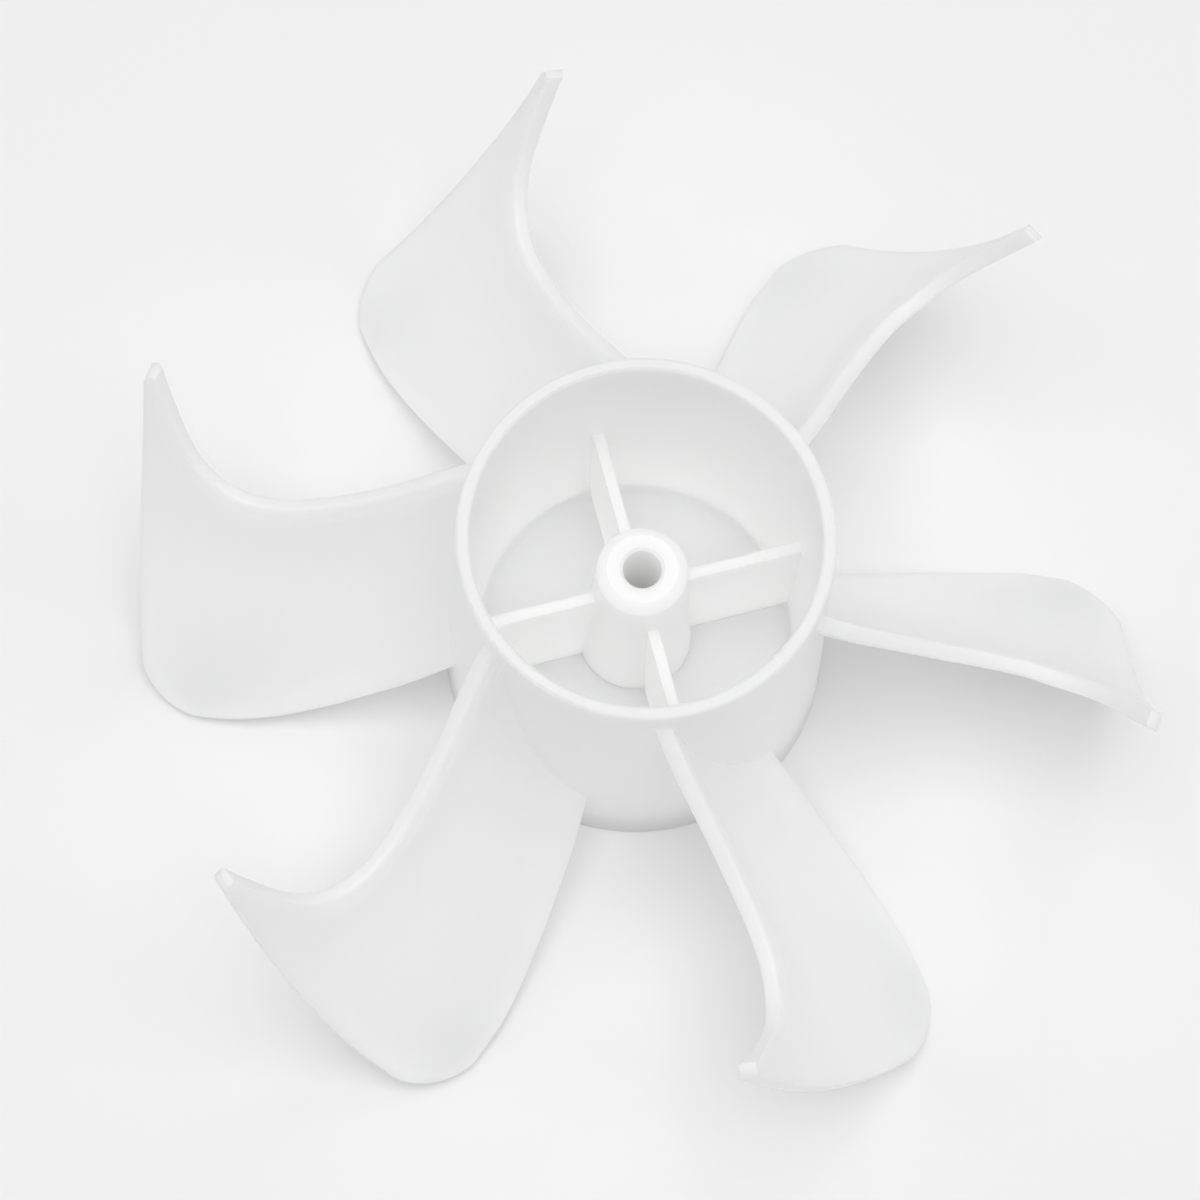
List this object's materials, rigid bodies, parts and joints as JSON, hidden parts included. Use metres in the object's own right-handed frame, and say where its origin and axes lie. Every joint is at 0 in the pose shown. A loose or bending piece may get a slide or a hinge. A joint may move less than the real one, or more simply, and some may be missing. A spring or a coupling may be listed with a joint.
{
  "type": "axial fan impeller",
  "caption": "Axial fan impeller: hub cup with a ribbed central shaft boss and swept, cambered blades with hooked tips.",
  "frame": {"origin": "where the axis of rotation meets the plane of the hub's closed base", "axes": "+Z along the axis of rotation, from the closed base to the open rim of the hub; +X towards the tip of one blade"},
  "size_m": [0.11, 0.109, 0.0407],
  "materials": {
    "plastic": "natural translucent polypropylene, satin"
  },
  "bodies": {
    "root": {"impeller": "plastic"}
  },
  "joints": []
}
